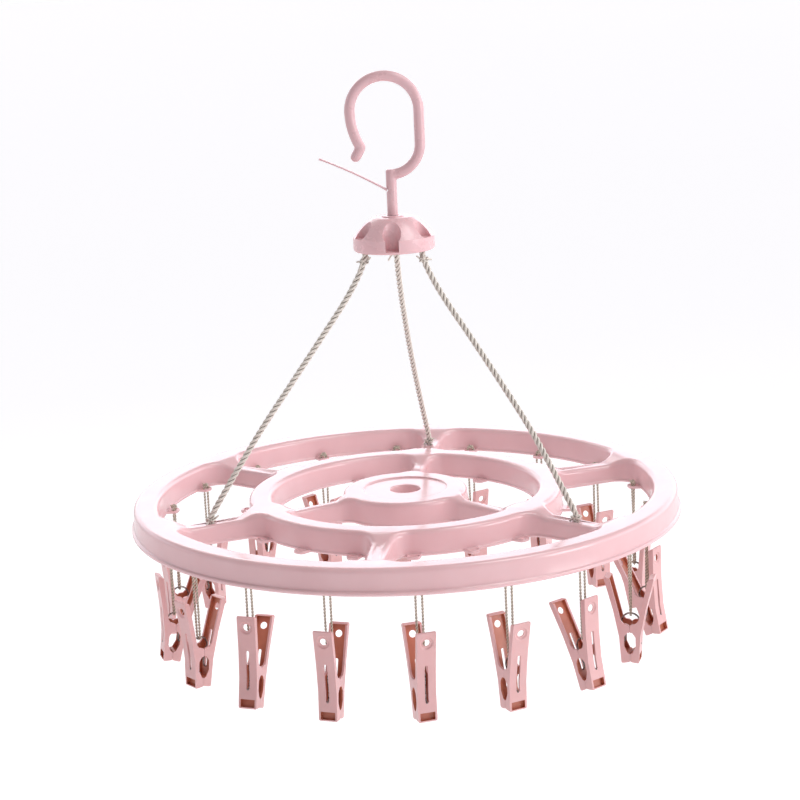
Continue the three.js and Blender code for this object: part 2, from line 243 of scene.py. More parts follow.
def melted(mesh, grain, smoothing):
    """A mesh rebuilt from faces about `grain` wide and smoothed that many times, which eases
    its edges and inside corners."""
    body = add_object("work", mesh)
    remesh = body.modifiers.new("remesh", "REMESH")
    remesh.mode = "VOXEL"
    remesh.voxel_size = grain * MM
    smooth = body.modifiers.new("smooth", "SMOOTH")
    smooth.factor = 0.5
    smooth.iterations = smoothing
    mesh = applied(body, mesh.name)
    mesh.shade_smooth()
    return mesh


def paintable(mesh, slots):
    """A mesh with that many empty material slots, all its faces in the first."""
    mesh.materials.clear()
    for _ in range(slots):
        mesh.materials.append(None)
    for face in mesh.polygons:
        face.material_index = 0
    return mesh


def between_rings(rings, count):
    """The faces of a wall over rings of `count` points, numbered ring after ring."""
    faces = []
    for ring in range(rings - 1):
        here = ring * count
        after = here + count
        faces += [(here + i, here + (i + 1) % count, after + (i + 1) % count, after + i)
                  for i in range(count)]
    return faces


def closed_wall(count, rings=2):
    """The faces of such a wall, with one over each end."""
    last = (rings - 1) * count
    ends = [tuple(range(count)), tuple(range(last, last + count))]
    return ends + between_rings(rings, count)


def prism(name, outline, width):
    """An outline in X and Z, made that wide along Y."""
    points = [(x, y, z) for y in (-width / 2, width / 2) for x, z in outline]
    return mesh_from(name, points, closed_wall(len(outline)))


def slab(name, outline, start, stop):
    """An outline in Y and Z, made solid from one X to another."""
    points = [(x, y, z) for x in (start, stop) for y, z in outline]
    return mesh_from(name, points, closed_wall(len(outline)))


def lathe(name, profile, sides):
    """A closed profile of radius and height turned about Z. It may start and end on the axis."""
    count = len(profile)
    vertices = []
    for side in range(sides):
        turn = 2 * math.pi * side / sides
        vertices += [(r * math.cos(turn), r * math.sin(turn), z) for r, z in profile]
    faces = []
    for side in range(sides):
        here = side * count
        after = (side + 1) % sides * count
        faces += [(here + i, here + (i + 1) % count, after + (i + 1) % count, after + i)
                  for i in range(count)]
    return mesh_from(name, vertices, faces)


def rod(name, radius, start, stop, sides, end_radius=None):
    """A round bar from one point to another, or a cone where end_radius differs."""
    start = Vector(start)
    stop = Vector(stop)
    turn = (stop - start).to_track_quat("Z", "Y")
    vertices = []
    for centre, size in ((start, radius), (stop, radius if end_radius is None else end_radius)):
        vertices += [centre + turn @ Vector((x, y, 0)) for x, y in circle(size, 360 / sides)]
    return mesh_from(name, vertices, closed_wall(sides))


def smooth_route(points, step):
    """Points about `step` apart on a smooth curve through all the given ones."""
    points = [Vector(point) for point in points]
    ends = [2 * points[0] - points[1], *points, 2 * points[-1] - points[-2]]
    route = []
    for a, b, c, d in zip(ends, ends[1:], ends[2:], ends[3:]):
        pieces = max(1, round((c - b).length / step))
        for piece in range(pieces):
            t = piece / pieces
            route.append(0.5 * (2 * b + (c - a) * t + (2 * a - 5 * b + 4 * c - d) * t ** 2
                                + (3 * b - a - 3 * c + d) * t ** 3))
    return route + [points[-1]]


def axes_along(route):
    """Two directions across a route and the one along it, at each of its points. The first
    two are carried along with no twist."""
    tangents = [(after - before).normalized() for before, after in
                zip(route[:1] + route[:-1], route[1:] + route[-1:])]
    side = tangents[0].orthogonal().normalized()
    axes = []
    for tangent in tangents:
        side = (side - tangent * side.dot(tangent)).normalized()
        axes.append((side, tangent.cross(side), tangent))
    return axes


def tube_parts(route, radius, sides):
    """Vertices and faces of a round tube with rounded ends."""
    axes = axes_along(route)
    tip_lift = 0.25
    end_rings = 3
    lifts = np.linspace(tip_lift, math.pi / 2, end_rings, endpoint=False)
    rings = [(route[0] - axes[0][2] * radius * math.cos(lift), axes[0], radius * math.sin(lift))
             for lift in lifts]
    rings += [(point, axis, radius) for point, axis in zip(route, axes)]
    rings += [(route[-1] + axes[-1][2] * radius * math.cos(lift), axes[-1], radius * math.sin(lift))
              for lift in lifts[::-1]]
    vertices = []
    for centre, (side, up, _), size in rings:
        vertices += [centre + (side * x + up * y) for x, y in circle(size, 360 / sides)]
    return vertices, closed_wall(sides, len(rings))


def tubes(name, routes, radius, sides):
    """One mesh of several round tubes, with a UV map round and along them."""
    vertices = []
    faces = []
    for route in routes:
        more, walls = tube_parts(route, radius, sides)
        faces += [tuple(index + len(vertices) for index in wall) for wall in walls]
        vertices += more
    mesh = mesh_from(name, vertices, faces, weld=0)
    add_lengthwise_map(mesh, sides)
    return mesh


def add_lengthwise_map(mesh, sides):
    """A UV map for tubes: once round the tube in U, and one unit from ring to ring in V."""
    uv = mesh.uv_layers.new(name="along").data
    for face in mesh.polygons:
        columns = [vertex % sides for vertex in face.vertices]
        wraps = 0 in columns and sides - 1 in columns and len(columns) == 4
        for loop, column, vertex in zip(face.loop_indices, columns, face.vertices):
            uv[loop].uv = ((sides if wraps and column == 0 else column) / sides, vertex // sides)


def twisted(route, strands, offset, pitch):
    """The routes of strands laid round a route, right-handed, one turn every `pitch`."""
    axes = axes_along(route)
    along = np.cumsum([0.0] + [(b - a).length for a, b in zip(route, route[1:])])
    laid = []
    for strand in range(strands):
        turns = 2 * math.pi * (along / pitch + strand / strands)
        laid.append([point + (side * math.cos(turn) + up * math.sin(turn)) * offset
                     for point, (side, up, _), turn in zip(route, axes, turns)])
    return laid


def shade_in_grooves(mesh, lines, reach):
    """Stores on a mesh, as groove, how far each point is from the lines: 0 on them and 1 at
    reach. The lines are in millimetres, as reach is."""
    points = [point for line in lines for point in line]
    near = KDTree(len(points))
    for index, point in enumerate(points):
        near.insert(point * MM, index)
    near.balance()
    # The distance kept here masks a painted shade: the fibre material darkens points near the lines,
    # between the strands.
    depth = mesh.attributes.new("groove_shade", "FLOAT", "POINT").data
    for vertex, value in zip(mesh.vertices, depth):
        value.value = min(1, near.find(vertex.co)[2] / (reach * MM))
    return mesh


# ---- materials --------------------------------------------------------------
class Recipe:
    """A node material under construction: its nodes, and the links between them."""

    def __init__(self, name):
        self.material = bpy.data.materials.new(name)
        self.material.use_nodes = True
        self.tree = self.material.node_tree
        self.shader = self.tree.nodes["Principled BSDF"]
        self.place = self.node("ShaderNodeTexCoord").outputs["Object"]

    def node(self, kind, **settings):
        """A new node, with settings for its options and, by name, its inputs."""
        made = self.tree.nodes.new(kind)
        for key, value in settings.items():
            if hasattr(made, key):
                setattr(made, key, value)
            else:
                made.inputs[key.replace("_", " ").title()].default_value = value
        return made

    def link(self, source, target):
        """Joins an output to an input."""
        self.tree.links.new(source, target)

    def noise(self, scale, detail=3.0):
        """Noise with features about 1/scale metres across."""
        made = self.node("ShaderNodeTexNoise", scale=scale, detail=detail)
        self.link(self.place, made.inputs["Vector"])
        return made.outputs["Fac"]

    def spread(self, value, low, high, start=0.35, stop=0.65):
        """The value from start to stop, turned into low to high."""
        made = self.node("ShaderNodeMapRange")
        for name, number in (("From Min", start), ("From Max", stop), ("To Min", low), ("To Max", high)):
            made.inputs[name].default_value = number
        self.link(value, made.inputs["Value"])
        return made.outputs["Result"]

    def blend(self, share, first, second):
        """A colour between two others, each of them fixed or an output of another node."""
        made = self.node("ShaderNodeMix", data_type="RGBA")
        self.link(share, made.inputs["Factor"])
        for name, colour in (("A", first), ("B", second)):
            socket = next(entry for entry in made.inputs if entry.name == name and entry.type == "RGBA")
            if isinstance(colour, tuple):
                socket.default_value = (*colour, 1)
            else:
                self.link(colour, socket)
        return next(socket for socket in made.outputs if socket.type == "RGBA")

    def bump(self, height, depth, strength):
        """Bumps that many metres high, on top of any that the shader has."""
        made = self.node("ShaderNodeBump")
        made.inputs["Strength"].default_value = strength
        made.inputs["Distance"].default_value = depth
        self.link(height, made.inputs["Height"])
        previous = self.shader.inputs["Normal"]
        if previous.is_linked:
            self.link(previous.links[0].from_socket, made.inputs["Normal"])
        self.link(made.outputs["Normal"], previous)

    def set(self, **values):
        """Sets the shader's own inputs, by name."""
        for key, value in values.items():
            title = key.replace("_", " ").title().replace("Ior", "IOR")
            self.shader.inputs[title].default_value = value


def plastic(name, pale, deep, roughness):
    """Moulded plastic: faintly uneven in colour and gloss, with a shallow orange peel."""
    recipe = Recipe(name)
    cloud = recipe.spread(recipe.noise(42), 0, 1)
    recipe.link(recipe.blend(cloud, deep, pale), recipe.shader.inputs["Base Color"])
    recipe.link(recipe.spread(recipe.noise(130), roughness - 0.04, roughness + 0.05),
                recipe.shader.inputs["Roughness"])
    recipe.bump(recipe.noise(1100, 2), 0.00002, 0.35)
    recipe.bump(recipe.noise(55, 2), 0.0002, 0.12)
    recipe.set(specular_ior_level=0.75, subsurface_weight=0.12, subsurface_radius=(1.0, 0.45, 0.4),
               subsurface_scale=0.0025)
    return recipe.material


def fibre(name, pale, deep):
    """Spun yarn laid into a cord: dull, flecked, ridged along each strand, with painted shade that darkens
    its grooves between strands.
    """
    recipe = Recipe(name)
    groove_shade = recipe.node("ShaderNodeAttribute", attribute_name="groove_shade").outputs["Fac"]
    yarns = recipe.node("ShaderNodeTexWave", wave_type="BANDS", bands_direction="DIAGONAL")
    stretch = recipe.node("ShaderNodeVectorMath", operation="MULTIPLY")
    yarns_per_strand = 6
    stretch.inputs[1].default_value = (yarns_per_strand, 0.35, 0)
    recipe.link(recipe.node("ShaderNodeUVMap", uv_map="along").outputs["UV"], stretch.inputs[0])
    recipe.link(stretch.outputs["Vector"], yarns.inputs["Vector"])
    yarns.inputs["Scale"].default_value = 0.32
    fleck = recipe.noise(2600, 4)
    dull = tuple(0.82 * part for part in pale)
    crest = recipe.blend(recipe.spread(fleck, 0, 1), dull, pale)
    # Painted shade: deep is the shade colour in the grooves between strands, and crest the fibre's own
    # colour away from them.
    height = recipe.spread(groove_shade, 0, 1, 0.45, 0.97)
    recipe.link(recipe.blend(height, deep, crest), recipe.shader.inputs["Base Color"])
    recipe.bump(yarns.outputs["Fac"], 0.0002, 0.7)
    recipe.bump(fleck, 0.00015, 0.5)
    recipe.set(roughness=0.8, sheen_weight=0.25)
    return recipe.material


def steel(name):
    """Drawn spring wire: dark bright metal, faintly mottled."""
    dark = (0.16, 0.13, 0.12)
    bright = (0.42, 0.38, 0.36)
    recipe = Recipe(name)
    mottle = recipe.noise(900, 3)
    recipe.link(recipe.blend(recipe.spread(mottle, 0, 1), dark, bright),
                recipe.shader.inputs["Base Color"])
    recipe.link(recipe.spread(mottle, 0.22, 0.4), recipe.shader.inputs["Roughness"])
    recipe.bump(mottle, 0.00003, 0.4)
    recipe.set(metallic=1.0)
    return recipe.material


# ---- camera, light and floor --------------------------------------------------
def make_camera():
    """A long lens from the front and a little above, rolled as a hand-held camera is."""
    place = Vector((-0.0008, -1.3743, 0.0924))
    target = Vector((-0.0008, 0, -0.2177))
    roll = math.radians(2.6)
    camera = bpy.data.objects.new("camera", bpy.data.cameras.new("camera"))
    camera.data.lens = 92
    camera.data.sensor_width = 36
    ahead = (target - place).normalized()
    right = ahead.cross(Vector((0, 0, 1))).normalized()
    up = right.cross(ahead)
    turned_right = right * math.cos(roll) - up * math.sin(roll)
    turned_up = right * math.sin(roll) + up * math.cos(roll)
    facing = Matrix((turned_right, turned_up, -ahead)).transposed().to_4x4()
    camera.matrix_world = Matrix.Translation(place) @ facing
    bpy.context.scene.collection.objects.link(camera)
    bpy.context.scene.camera = camera


def add_panel(name, place, target, size, power, colour=(1, 1, 1)):
    """A square soft light at one point, facing another."""
    light = bpy.data.lights.new(name, "AREA")
    light.shape = "SQUARE"
    light.size = size
    light.energy = power
    light.color = colour
    panel = bpy.data.objects.new(name, light)
    panel.location = place
    panel.rotation_euler = (Vector(target) - Vector(place)).to_track_quat("-Z", "Y").to_euler()
    bpy.context.scene.collection.objects.link(panel)


def make_world():
    """A room that is brightest behind the hanger and just above its horizon. The camera
    itself sees plain white."""
    world = bpy.data.worlds.new("studio")
    bpy.context.scene.world = world
    world.use_nodes = True
    tree = world.node_tree
    background = tree.nodes["Background"]
    direction = tree.nodes.new("ShaderNodeTexCoord").outputs["Generated"]
    split = tree.nodes.new("ShaderNodeSeparateXYZ")
    tree.links.new(direction, split.inputs["Vector"])
    lit_side = tree.nodes.new("ShaderNodeVectorMath")
    lit_side.operation = "DOT_PRODUCT"
    lit_side.inputs[1].default_value = (0.35, 0.65, 0.35)
    tree.links.new(direction, lit_side.inputs[0])
    strength = tree.nodes.new("ShaderNodeMapRange")
    for name, number in (("From Min", -0.75), ("From Max", 0.45), ("To Min", 0.06), ("To Max", 2.6)):
        strength.inputs[name].default_value = number
    tree.links.new(lit_side.outputs["Value"], strength.inputs["Value"])
    tree.links.new(strength.outputs["Result"], background.inputs["Strength"])
    sky = tree.nodes.new("ShaderNodeValToRGB")
    horizon = (0.5, 0.5, 0.5)
    glow = (0.96, 0.93, 1.0)
    glow_top = (0.9, 0.87, 0.95)
    overhead = (0.22, 0.22, 0.22)
    bands = [(0.0, horizon), (0.04, horizon), (0.11, glow), (0.36, glow_top), (0.55, overhead),
             (1.0, overhead)]
    for _ in bands[2:]:
        sky.color_ramp.elements.new(0.5)
    for element, (height, colour) in zip(sky.color_ramp.elements, bands):
        element.position = height
        element.color = (*colour, 1)
    tree.links.new(split.outputs["Z"], sky.inputs["Fac"])
    tree.links.new(sky.outputs["Color"], background.inputs["Color"])
    backdrop = tree.nodes.new("ShaderNodeBackground")
    backdrop.inputs["Color"].default_value = (1, 1, 1, 1)
    ray = tree.nodes.new("ShaderNodeLightPath")
    either = tree.nodes.new("ShaderNodeMixShader")
    tree.links.new(ray.outputs["Is Camera Ray"], either.inputs["Fac"])
    tree.links.new(background.outputs["Background"], either.inputs[1])
    tree.links.new(backdrop.outputs["Background"], either.inputs[2])
    tree.links.new(either.outputs["Shader"], tree.nodes["World Output"].inputs["Surface"])


def make_floor():
    """A wide white floor well below the hanger, which gives a little light of its own."""
    floor = bpy.data.meshes.new("floor")
    reach = 40
    gap = 0.45
    level = CAD_BOX[0].z - gap
    corners = ((-reach, -reach), (reach, -reach), (reach, reach), (-reach, reach))
    floor.from_pydata([(x, y, level) for x, y in corners], [], [(0, 1, 2, 3)])
    recipe = Recipe("white_floor")
    recipe.set(roughness=0.9)
    recipe.shader.inputs["Base Color"].default_value = (0.93, 0.93, 0.93, 1)
    recipe.shader.inputs["Emission Color"].default_value = (1, 1, 1, 1)
    recipe.shader.inputs["Emission Strength"].default_value = 0.3
    add_object("floor", floor, recipe.material)


def make_lights():
    """Soft lights from above on the right, from the right, from behind and from the left."""
    middle = (0, 0, -0.28)
    add_panel("key", (0.9, -0.3, 1.4), middle, 0.9, 10, (1, 0.98, 0.97))
    add_panel("right_fill", (1.9, -0.9, 0.0), middle, 0.8, 9, (1, 0.98, 0.98))
    add_panel("back", (-0.6, 1.6, 0.9), middle, 1.0, 5)
    add_panel("left_strip", (-1.5, -1.0, 0.5), middle, 0.25, 0.6)


# ---- ring frame ---------------------------------------------------------------
def rope_spoke(number):
    """The angle of a spoke that carries a rope and goes on inwards to the hub."""
    return FRAME_TURN + 60 + 120 * number


def window_outline(outside, inside, first_spoke, next_spoke, spoke_width, fillet, grow):
    """The opening between two spokes, counter-clockwise, with all its sides moved outwards
    by `grow`."""
    side = spoke_width / 2 + fillet
    outer_u = math.sqrt((outside - fillet) ** 2 - side ** 2)
    inner_u = math.sqrt((inside + fillet) ** 2 - side ** 2)
    outer_lean = math.degrees(math.atan2(side, outer_u))
    inner_lean = math.degrees(math.atan2(side, inner_u))
    first = first_spoke - 90
    after = next_spoke - 90

    def corner(spoke_turn, u, v, start, stop):
        """A fillet centred at u along a spoke and v across it."""
        turn = math.radians(spoke_turn)
        x = u * math.cos(turn) - v * math.sin(turn)
        y = u * math.sin(turn) + v * math.cos(turn)
        return arc(x, y, fillet + grow, start, stop, 9)

    return np.concatenate([
        arc(0, 0, outside + grow, first + outer_lean, after - outer_lean, 1.5)[:-1],
        corner(after, outer_u, -side, after - outer_lean, after + 90),
        corner(after, inner_u, -side, after + 90, after + 180 - inner_lean),
        arc(0, 0, inside - grow, after - inner_lean, first + inner_lean, 2.5)[1:-1],
        corner(first, inner_u, side, first + inner_lean + 180, first + 270),
        corner(first, outer_u, side, first - 90, first + outer_lean)[:-1],
    ])


def dip(x, y):
    """How far the top lies below the rings: the spokes sag between them in smooth slopes."""
    radius = np.hypot(x, y)
    outer_slope = 17
    inner_slope = 14
    outer = np.minimum(radius - INNER_RING_OUTSIDE, RING_INSIDE - radius) / outer_slope
    inner = np.minimum(radius - HUB_RADIUS, INNER_RING_INSIDE - radius) / inner_slope
    share = np.clip(np.maximum(outer, inner), 0, 1)
    return SPOKE_DIP * share * share * (3 - 2 * share)


def wall_profile(lip, lip_height):
    """A channel wall as [into the material, height, share of the dip], from the top down,
    round the bead at its foot and up the hollow side."""
    draft = 0.4
    foot = -FRAME_DEPTH
    easing = np.radians(np.linspace(0, 90, 7))
    shoulder = [(ROUND - ROUND * math.sin(t), ROUND * math.cos(t) - ROUND, 1) for t in easing]
    bead = [(-draft, foot + lip_height + 0.5, 0), (-draft - 0.15, foot + lip_height, 0),
            (-lip + 0.25, foot + lip_height - 0.25, 0), (-lip, foot + lip_height - 0.6, 0),
            (-lip, foot + 0.5, 0), (-lip + 0.5, foot, 0), (WALL - 0.5, foot, 0), (WALL, foot + 0.5, 0)]
    hollow = [(WALL, -WALL - 2, 1), (WALL + 0.6, -WALL - 0.6, 1), (WALL + 2, -WALL, 1)]
    return [(ROUND + 1, 0, 1), *shoulder, *bead, *hollow]


def hole_profile(bevel):
    """A bevelled hole through the top plate, in the same terms."""
    return [(bevel + 0.4, 0, 1), (bevel, 0, 1), (0, -bevel, 1), (0, -WALL, 1)]


def frame_edges():
    """Every edge of the frame's plan: its outline as a function of how far into the material,
    and its profile."""
    window = wall_profile(1.1, 1.9)
    edges = [(lambda grow: circle(FRAME_RADIUS - grow, 1.5), wall_profile(2, 2.6))]
    for spoke in range(OUTER_SPOKES):
        sector = 360 / OUTER_SPOKES
        angle = FRAME_TURN + sector * spoke
        edges.append((lambda grow, a=angle, b=angle + sector: window_outline(
            RING_INSIDE, INNER_RING_OUTSIDE, a, b, OUTER_SPOKE, OUTER_FILLET, grow), window))
    for spoke in range(INNER_SPOKES):
        sector = 360 / INNER_SPOKES
        angle = rope_spoke(spoke)
        edges.append((lambda grow, a=angle, b=angle + sector: window_outline(
            INNER_RING_INSIDE, HUB_RADIUS, a, b, INNER_SPOKE, INNER_FILLET, grow), window))
        hole = around(angle, ROPE_RADIUS)
        edges.append((lambda grow, h=hole: circle(ROPE_HOLE + grow, 15, h.x, h.y), hole_profile(0.5)))
    return edges


def inside_count(points, outline):
    """1 for each point that lies inside a closed outline, or else 0."""
    x, y = points[:, :1], points[:, 1:]
    ax, ay = outline[:, 0], outline[:, 1]
    bx, by = np.roll(ax, -1), np.roll(ay, -1)
    crosses = (ay > y) != (by > y)
    with np.errstate(divide="ignore", invalid="ignore"):
        beyond = x < ax + (y - ay) * (bx - ax) / (by - ay)
    return (crosses & beyond).sum(axis=1) % 2


def in_material(points, outlines):
    """Which points lie inside the first outline and outside all the others."""
    return sum(inside_count(points, outline) for outline in outlines) == 1


def lattice_of(spacing):
    """Points of an even triangular pattern over the whole plan."""
    row_spacing = spacing * 0.866
    across, along = np.meshgrid(np.arange(-180.0, 180, spacing), np.arange(-180.0, 180, row_spacing))
    across[1::2] += spacing / 2
    return np.stack((across, along), axis=-1).reshape(-1, 2)


def plate(edges, grow_of, spacing, height):
    """The nearly flat top of the frame, or the underside of its top plate: triangles between
    the edges, following the dip."""
    outlines = [outline(grow_of(profile)) for outline, profile in edges]
    clear = [outline(grow_of(profile) + 0.45 * spacing) for outline, profile in edges]
    lattice = lattice_of(spacing)
    lattice = lattice[dip(lattice[:, 0], lattice[:, 1]) > 0]
    lattice = lattice[in_material(lattice, clear)]
    points = np.concatenate([*outlines, lattice])
    borders = []
    start = 0
    for outline in outlines:
        count = len(outline)
        borders += [(start + i, start + (i + 1) % count) for i in range(count)]
        start += count
    found, _, triangles, *_ = delaunay_2d_cdt([Vector(p) for p in points], borders, [], 0, 1e-7)
    found = np.array(found)
    centres = np.array([found[triangle].mean(axis=0) for triangle in triangles])
    kept = [triangle for triangle, keep in zip(triangles, in_material(centres, outlines)) if keep]
    heights = height - dip(found[:, 0], found[:, 1])
    return [(x, y, z) for (x, y), z in zip(found, heights)], kept


def edge_strip(outline, profile):
    """The wall round one edge of the plan."""
    rings = []
    for grow, height, share in profile:
        ring = outline(grow)
        drop = share * dip(ring[:, 0], ring[:, 1])
        rings.append([(x, y, height - d) for (x, y), d in zip(ring, drop)])
    return [point for ring in rings for point in ring], between_rings(len(rings), len(rings[0]))


def hub_centre():
    """The hub's shallow round recess and the hole in its middle, down to the hub's foot."""
    foot = -FRAME_DEPTH
    lip = HUB_RECESS
    hole = HUB_HOLE
    back = HUB_HOLE + WALL
    return [(lip + 1.5, 0), (lip + 0.5, 0), (lip + 0.1, -0.15), (lip, -0.4), (lip - 0.1, -0.85),
            (lip - 0.5, -1), (lip - 1.5, -1), (hole + 1.8, -1), (hole + 0.8, -1), (hole + 0.2, -1.25),
            (hole, -1.8), (hole, foot + 0.5), (hole + 0.5, foot), (back - 0.5, foot),
            (back, foot + 0.5), (back, -WALL - 2.5), (back + 1.5, -WALL - 1)]


def make_frame(material):
    """The one-piece moulding of rings, spokes and hub, as a hollow channel open below."""
    edges = frame_edges()
    hub = hub_centre()
    top_hole = (lambda grow: circle(hub[0][0], 3), [(0, 0, 0)])
    bottom_hole = (lambda grow: circle(hub[-1][0], 3), [(0, 0, 0)])
    vertices = []
    faces = []

    def add(part):
        """Takes in a part's points and faces."""
        points, walls = part
        faces.extend(tuple(index + len(vertices) for index in wall) for wall in walls)
        vertices.extend(points)

    add(plate([*edges, top_hole], lambda profile: profile[0][0], 1.4, 0))
    add(plate([*edges, bottom_hole], lambda profile: profile[-1][0], 4, -WALL))
    for outline, profile in edges:
        add(edge_strip(outline, profile))
    add(edge_strip(lambda radius: circle(radius, 3), [(radius, height, 0) for radius, height in hub]))
    mesh = mesh_from("frame_moulding", [(x, y, z + FRAME_TOP) for x, y, z in vertices], faces)
    piece = add_object("frame_moulding", mesh, material)
    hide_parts("ring_frame")
    return piece


# ---- lugs ---------------------------------------------------------------------
def lug_mesh():
    """A flat eye reaching along +X from a wall at x = 0, with a long hole across its end."""
    shape = bpy.data.curves.new("lug", "CURVE")
    shape.dimensions = "2D"
    shape.fill_mode = "BOTH"
    bevel = 0.45
    shape.extrude = (LUG_THICK / 2 - bevel) * MM
    shape.bevel_depth = bevel * MM
    shape.bevel_resolution = 2
    shape.offset = -bevel * MM
    outside = rounded([(-1, -6), (1.5, -5.2), (8.6, -3.8), (8.6, 3.8), (1.5, 5.2), (-1, 6)], 3)
    slot_radius = 1.5
    slot_end = 3.7
    near = LUG_REACH - slot_radius
    far = LUG_REACH + slot_radius
    slot = rounded([(far, slot_end), (far, -slot_end), (near, -slot_end), (near, slot_end)], slot_radius)
    for outline in (outside, slot):
        spline = shape.splines.new("POLY")
        spline.points.add(len(outline) - 1)
        for point, (x, y) in zip(spline.points, outline):
            point.co = (x * MM, y * MM, 0, 1)
        spline.use_cyclic_u = True
    mesh = applied(add_object("work", shape), "lug")
    bpy.data.curves.remove(shape)
    mesh.shade_smooth()
    return mesh


def make_lugs(material):
    """All the eyes on the feet of the frame's walls, as one piece."""
    places = []
    for peg in range(PEG_COUNT):
        angle = FRAME_TURN + PEG_ANGLE + peg * 360 / PEG_COUNT
        places += [(angle, RING_INSIDE, 180), (angle, INNER_RING_OUTSIDE, 0)]
    for spoke in range(INNER_SPOKES):
        angle = rope_spoke(spoke)
        places += [(angle + 30, INNER_RING_INSIDE, 180), (angle - 30, INNER_RING_INSIDE, 180)]
    eye = lug_mesh()
    joined = bmesh.new()
    for angle, radius, flip in places:
        start = len(joined.verts)
        joined.from_mesh(eye)
        joined.verts.ensure_lookup_table()
        spot = around(angle, radius, FRAME_TOP - FRAME_DEPTH + LUG_THICK / 2) * MM
        turn = Matrix.Rotation(math.radians(angle - 90 + flip), 4, "Z")
        bmesh.ops.transform(joined, matrix=Matrix.Translation(spot) @ turn, verts=joined.verts[start:])
    mesh = bpy.data.meshes.new("frame_lugs")
    joined.to_mesh(mesh)
    joined.free()
    bpy.data.meshes.remove(eye)
    mesh.materials.clear()
    piece = add_object("frame_lugs", mesh, material)
    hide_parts("ring_frame")
    return piece


# ---- hook, strap, swivel and cap ------------------------------------------------
def hook_route():
    """Centre line of the hook from the top of its stem round to its tip."""
    right = 20.3
    top_radius = 23.1
    top_x = right - top_radius
    top_centre = -math.sqrt((top_radius - HOOK_ROD / 2) ** 2 - top_x ** 2)
    low_centre = top_centre - 22.5
    left_radius = 48
    left_centre = top_x - top_radius + left_radius
    path = np.concatenate([
        arc(0, low_centre, right, -90, 0, 5),
        arc(top_x, top_centre, top_radius, 0, 180, 5),
        arc(left_centre, top_centre, left_radius, 180, 210, 5)[1:],
    ])
    kink = path[-1]
    tip = kink + np.array((-3.6, -6))
    return [Vector((x, 0, z)) for x, z in [*path, kink + (tip - kink) * 0.15, tip]]


def make_hook(material):
    """The round rod on its stem, with the notch that the strap sits in."""
    route = hook_route()
    elbow = route[0].z
    bend = mesh_from("hook", *tube_parts(route, HOOK_ROD / 2, 28))
    foot = CAP_TOP - 10
    reach = HOOK_ROD / 2
    head = elbow + reach
    stem = lathe("stem", [(0, foot), (reach, foot), (reach, head - 1), (reach - 0.4, head - 0.3),
                          (reach - 1.2, head), (0, head)], 40)
    left = STRAP_ROOT.x - 4
    right = STRAP_ROOT.x + 0.7
    low = STRAP_ROOT.z - 1.2
    high = STRAP_ROOT.z + 1.2
    notch = prism("notch", [(left, low), (right, low), (right, high), (left, high)], STRAP_WIDTH + 0.5)
    mesh = carved(carved(bend, [stem], "UNION"), [notch])
    piece = add_object("hook_body", melted(mesh, 0.42, 12), material)
    piece.data.name = "hook_body"
    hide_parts("hook")
    return piece


def make_strap(material):
    """The thin springy strip from the stem's notch out under the hook's tip."""
    lean = math.radians(STRAP_LEAN)
    root = Vector((STRAP_ROOT.x, STRAP_ROOT.z))
    along = Vector((-math.cos(lean), math.sin(lean)))
    across = Vector((math.sin(lean), math.cos(lean)))
    upper = []
    lower = []
    for t in np.linspace(0, 1, 25):
        bow = 0.9 * math.sin(math.pi * t)
        swell = 0.25 * (max(0, 1 - 12 * t) + max(0, 12 * t - 11))
        half_thickness = 0.62 - 0.12 * t + swell
        centre = root + along * (t * STRAP_LENGTH) + across * bow
        upper.append(centre + across * half_thickness)
        lower.append(centre - across * half_thickness)
    mesh = softened(prism("strap", upper + lower[::-1], STRAP_WIDTH), 0.2, 40)
    piece = add_object("strap", mesh, material)
    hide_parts("wind_strap")
    return piece


def make_retainer(material):
    """The collar on the stem, under the cap's top, that the cap turns on."""
    low, high = cad_corners("swivel_retainer")
    inner = HOOK_ROD / 2 + 0.2
    outer = high.x
    profile = [(inner, low.z), (outer - 1.2, low.z), (outer - 0.5, low.z + 0.4), (outer, low.z + 1.4),
               (outer, high.z - 0.4), (outer - 0.4, high.z), (inner, high.z)]
    piece = add_object("swivel_collar", lathe("swivel_collar", profile, 64), material)
    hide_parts("swivel_retainer")
    return piece


def cap_profile():
    """The outside of the dome, from its rim up to the low boss round the stem."""
    bottom = CAP_BOTTOM
    top = CAP_TOP
    rim = [(26.7, 0), (27.3, 0.5), (27.7, 1.6), (27.6, 9.2), (26.3, 10.4)]
    dome = [(23.7, 13.5), (20.8, 16.7), (17.3, 20)]
    crown = [(14.4, top - 0.5), (13.2, top), (8, top), (7.6, top + 0.7), (7, top + 0.8), (0, top + 0.8)]
    return [(0, bottom), *[(radius, bottom + height) for radius, height in rim + dome], *crown]


